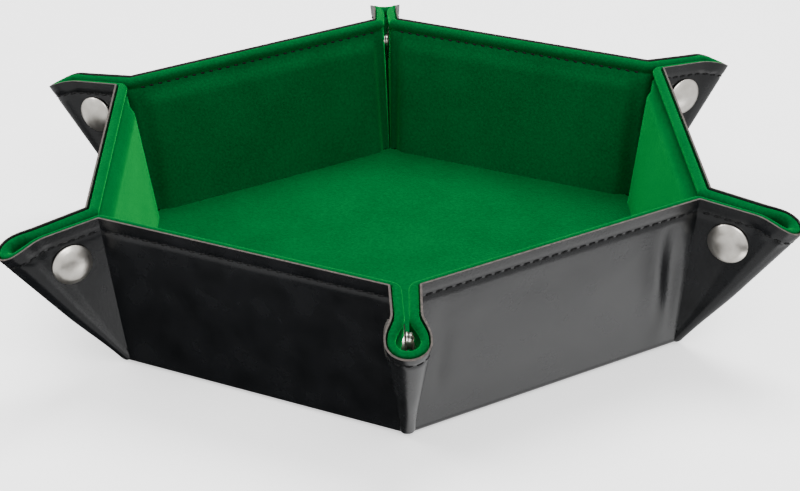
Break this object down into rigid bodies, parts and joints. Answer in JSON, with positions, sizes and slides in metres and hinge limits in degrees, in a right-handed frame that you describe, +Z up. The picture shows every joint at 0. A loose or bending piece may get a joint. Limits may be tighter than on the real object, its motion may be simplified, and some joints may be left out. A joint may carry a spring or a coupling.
{
  "type": "folding dice tray",
  "caption": "Hexagonal folding tray with leather outside and velvet inside; pinched, snapped corners hold its walls up, and it opens flat.",
  "frame": {"origin": "centre of the tray on the surface that it stands on", "axes": "+Z up out of the tray, two opposite corners on the Y axis, two opposite walls facing along X"},
  "size_m": [0.2284, 0.2592, 0.0521],
  "materials": {
    "leather": "semi-gloss black polyurethane-coated leather, smooth with a fine grain",
    "board": "raw greyboard stiffener",
    "lining": "short-pile green velvet on thin foam",
    "snap_metal": "satin nickel plate on stamped steel"
  },
  "bodies": {
    "floor": {"floor_leather": "leather", "floor_board": "board", "floor_lining": "lining"},
    "wall_1": {"wall_1_leather": "leather", "wall_1_board": "board", "wall_1_lining": "lining"},
    "wall_2": {"wall_2_leather": "leather", "wall_2_board": "board", "wall_2_lining": "lining"},
    "wall_3": {"wall_3_leather": "leather", "wall_3_board": "board", "wall_3_lining": "lining"},
    "wall_4": {"wall_4_leather": "leather", "wall_4_board": "board", "wall_4_lining": "lining"},
    "wall_5": {"wall_5_leather": "leather", "wall_5_board": "board", "wall_5_lining": "lining"},
    "wall_6": {"wall_6_leather": "leather", "wall_6_board": "board", "wall_6_lining": "lining"},
    "gusset_1_a": {"gusset_1_a_leather": "leather", "gusset_1_a_lining": "lining", "snap_1_socket": "snap_metal"},
    "gusset_1_b": {"gusset_1_b_leather": "leather", "gusset_1_b_lining": "lining", "snap_1_stud": "snap_metal"},
    "gusset_2_a": {"gusset_2_a_leather": "leather", "gusset_2_a_lining": "lining", "snap_2_socket": "snap_metal"},
    "gusset_2_b": {"gusset_2_b_leather": "leather", "gusset_2_b_lining": "lining", "snap_2_stud": "snap_metal"},
    "gusset_3_a": {"gusset_3_a_leather": "leather", "gusset_3_a_lining": "lining", "snap_3_socket": "snap_metal"},
    "gusset_3_b": {"gusset_3_b_leather": "leather", "gusset_3_b_lining": "lining", "snap_3_stud": "snap_metal"},
    "gusset_4_a": {"gusset_4_a_leather": "leather", "gusset_4_a_lining": "lining", "snap_4_socket": "snap_metal"},
    "gusset_4_b": {"gusset_4_b_leather": "leather", "gusset_4_b_lining": "lining", "snap_4_stud": "snap_metal"},
    "gusset_5_a": {"gusset_5_a_leather": "leather", "gusset_5_a_lining": "lining", "snap_5_socket": "snap_metal"},
    "gusset_5_b": {"gusset_5_b_leather": "leather", "gusset_5_b_lining": "lining", "snap_5_stud": "snap_metal"},
    "gusset_6_a": {"gusset_6_a_leather": "leather", "gusset_6_a_lining": "lining", "snap_6_socket": "snap_metal"},
    "gusset_6_b": {"gusset_6_b_leather": "leather", "gusset_6_b_lining": "lining", "snap_6_stud": "snap_metal"}
  },
  "joints": [
    {"name": "wall_1_fold", "type": "hinge", "parent": "floor", "child": "wall_1", "pos_m": [0.08141, 0, 0.003], "axis": [0, 1, 0], "range_deg": [0, 81.8]},
    {"name": "wall_2_fold", "type": "hinge", "parent": "floor", "child": "wall_2", "pos_m": [0.0407, 0.0705, 0.003], "axis": [-0.866, 0.5, 0], "range_deg": [0, 81.8]},
    {"name": "wall_3_fold", "type": "hinge", "parent": "floor", "child": "wall_3", "pos_m": [-0.0407, 0.0705, 0.003], "axis": [-0.866, -0.5, 0], "range_deg": [0, 81.8]},
    {"name": "wall_4_fold", "type": "hinge", "parent": "floor", "child": "wall_4", "pos_m": [-0.08141, 0, 0.003], "axis": [0, -1, 0], "range_deg": [0, 81.8]},
    {"name": "wall_5_fold", "type": "hinge", "parent": "floor", "child": "wall_5", "pos_m": [-0.0407, -0.0705, 0.003], "axis": [0.866, -0.5, 0], "range_deg": [0, 81.8]},
    {"name": "wall_6_fold", "type": "hinge", "parent": "floor", "child": "wall_6", "pos_m": [0.0407, -0.0705, 0.003], "axis": [0.866, 0.5, 0], "range_deg": [0, 81.8]},
    {"name": "gusset_1_a_crease", "type": "hinge", "parent": "wall_1", "child": "gusset_1_a", "pos_m": [0.08444, 0.04625, 0.003], "axis": [0.1426, 0.0256, 0.9895], "range_deg": [0, 58.98]},
    {"name": "gusset_1_b_fold", "type": "hinge", "parent": "gusset_1_a", "child": "gusset_1_b", "pos_m": [0.08418, 0.0486, 0.003], "axis": [-0.5127, -0.296, -0.8059], "range_deg": [0, 174.99]},
    {"name": "gusset_2_a_crease", "type": "hinge", "parent": "wall_2", "child": "gusset_2_a", "pos_m": [0.00216, 0.09625, 0.003], "axis": [0.0491, 0.1363, 0.9895], "range_deg": [0, 58.98]},
    {"name": "gusset_2_b_fold", "type": "hinge", "parent": "gusset_2_a", "child": "gusset_2_b", "pos_m": [0, 0.09721, 0.003], "axis": [0, -0.592, -0.8059], "range_deg": [0, 174.99]},
    {"name": "gusset_3_a_crease", "type": "hinge", "parent": "wall_3", "child": "gusset_3_a", "pos_m": [-0.08227, 0.05, 0.003], "axis": [-0.0935, 0.1107, 0.9895], "range_deg": [0, 58.98]},
    {"name": "gusset_3_b_fold", "type": "hinge", "parent": "gusset_3_a", "child": "gusset_3_b", "pos_m": [-0.08418, 0.0486, 0.003], "axis": [0.5127, -0.296, -0.8059], "range_deg": [0, 174.99]},
    {"name": "gusset_4_a_crease", "type": "hinge", "parent": "wall_4", "child": "gusset_4_a", "pos_m": [-0.08444, -0.04625, 0.003], "axis": [-0.1426, -0.0256, 0.9895], "range_deg": [0, 58.98]},
    {"name": "gusset_4_b_fold", "type": "hinge", "parent": "gusset_4_a", "child": "gusset_4_b", "pos_m": [-0.08418, -0.0486, 0.003], "axis": [0.5127, 0.296, -0.8059], "range_deg": [0, 174.99]},
    {"name": "gusset_5_a_crease", "type": "hinge", "parent": "wall_5", "child": "gusset_5_a", "pos_m": [-0.00216, -0.09625, 0.003], "axis": [-0.0491, -0.1363, 0.9895], "range_deg": [0, 58.98]},
    {"name": "gusset_5_b_fold", "type": "hinge", "parent": "gusset_5_a", "child": "gusset_5_b", "pos_m": [0, -0.09721, 0.003], "axis": [0, 0.592, -0.8059], "range_deg": [0, 174.99]},
    {"name": "gusset_6_a_crease", "type": "hinge", "parent": "wall_6", "child": "gusset_6_a", "pos_m": [0.08227, -0.05, 0.003], "axis": [0.0935, -0.1107, 0.9895], "range_deg": [0, 58.98]},
    {"name": "gusset_6_b_fold", "type": "hinge", "parent": "gusset_6_a", "child": "gusset_6_b", "pos_m": [0.08418, -0.0486, 0.003], "axis": [-0.5127, 0.296, -0.8059], "range_deg": [0, 174.99]}
  ],
  "couplings": [
    {"joint": "wall_2_fold", "follows": "wall_1_fold", "ratio": 1},
    {"joint": "wall_3_fold", "follows": "wall_1_fold", "ratio": 1},
    {"joint": "wall_4_fold", "follows": "wall_1_fold", "ratio": 1},
    {"joint": "wall_5_fold", "follows": "wall_1_fold", "ratio": 1},
    {"joint": "wall_6_fold", "follows": "wall_1_fold", "ratio": 1},
    {"joint": "gusset_1_a_crease", "follows": "wall_1_fold", "ratio": 0.72093},
    {"joint": "gusset_1_b_fold", "follows": "wall_1_fold", "ratio": 2.1391},
    {"joint": "gusset_2_a_crease", "follows": "wall_1_fold", "ratio": 0.72093},
    {"joint": "gusset_2_b_fold", "follows": "wall_1_fold", "ratio": 2.1391},
    {"joint": "gusset_3_a_crease", "follows": "wall_1_fold", "ratio": 0.72093},
    {"joint": "gusset_3_b_fold", "follows": "wall_1_fold", "ratio": 2.1391},
    {"joint": "gusset_4_a_crease", "follows": "wall_1_fold", "ratio": 0.72093},
    {"joint": "gusset_4_b_fold", "follows": "wall_1_fold", "ratio": 2.1391},
    {"joint": "gusset_5_a_crease", "follows": "wall_1_fold", "ratio": 0.72093},
    {"joint": "gusset_5_b_fold", "follows": "wall_1_fold", "ratio": 2.1391},
    {"joint": "gusset_6_a_crease", "follows": "wall_1_fold", "ratio": 0.72093},
    {"joint": "gusset_6_b_fold", "follows": "wall_1_fold", "ratio": 2.1391}
  ]
}
